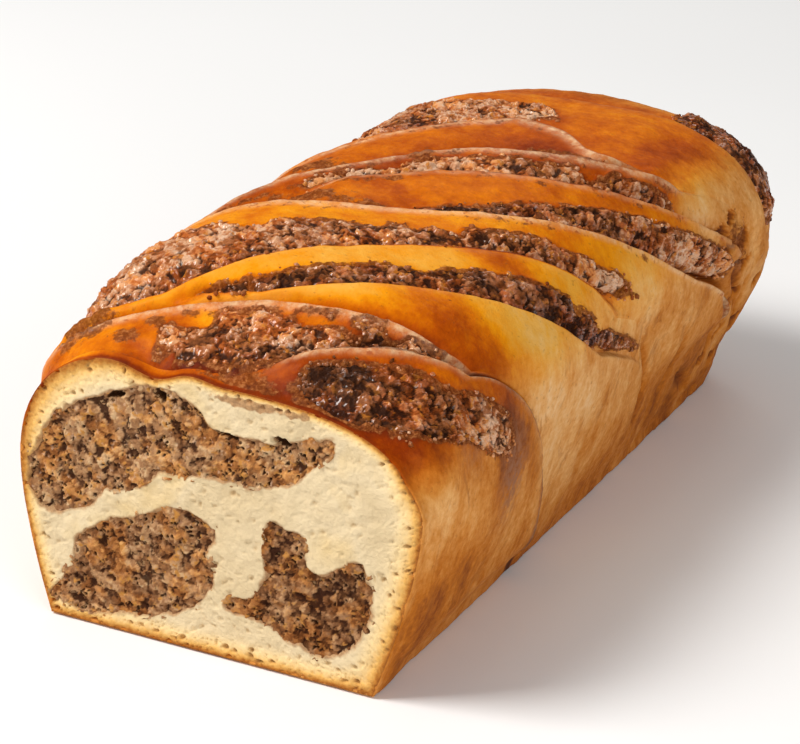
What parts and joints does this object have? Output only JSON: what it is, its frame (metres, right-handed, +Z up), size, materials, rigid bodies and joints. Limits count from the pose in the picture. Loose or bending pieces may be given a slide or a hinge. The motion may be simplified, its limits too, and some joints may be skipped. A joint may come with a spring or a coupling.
{
  "type": "nut strudel",
  "caption": "Plaited nut strudel loaf, cut across to show its soft nut filling, with a glazed, ridged crust and strips of baked nut filling.",
  "frame": {"origin": "middle of the loaf's plan, on the flat base that it rests on", "axes": "+Y runs along the loaf from the cut face to the baked end, +X to the right as seen from the cut, +Z up"},
  "size_m": [0.1228, 0.2718, 0.0902],
  "materials": {
    "crust": "glazed golden-brown crust over a pale crumb",
    "baked_nut_filling": "rough, dark, sticky in places",
    "soft_nut_filling": "matte, crumbly paste"
  },
  "bodies": {
    "root": {"dough": "crust", "filling_core_upper": "soft_nut_filling", "filling_core_left": "soft_nut_filling", "filling_core_right": "soft_nut_filling", "nut_strip_front_right": "baked_nut_filling", "nut_strip_front": "baked_nut_filling", "nut_strip_second": "baked_nut_filling", "nut_strip_third": "baked_nut_filling", "nut_strip_fourth": "baked_nut_filling", "nut_strip_fifth": "baked_nut_filling", "nut_strip_sixth": "baked_nut_filling", "nut_strip_far_left": "baked_nut_filling", "nut_strip_far_end": "baked_nut_filling"}
  },
  "joints": []
}
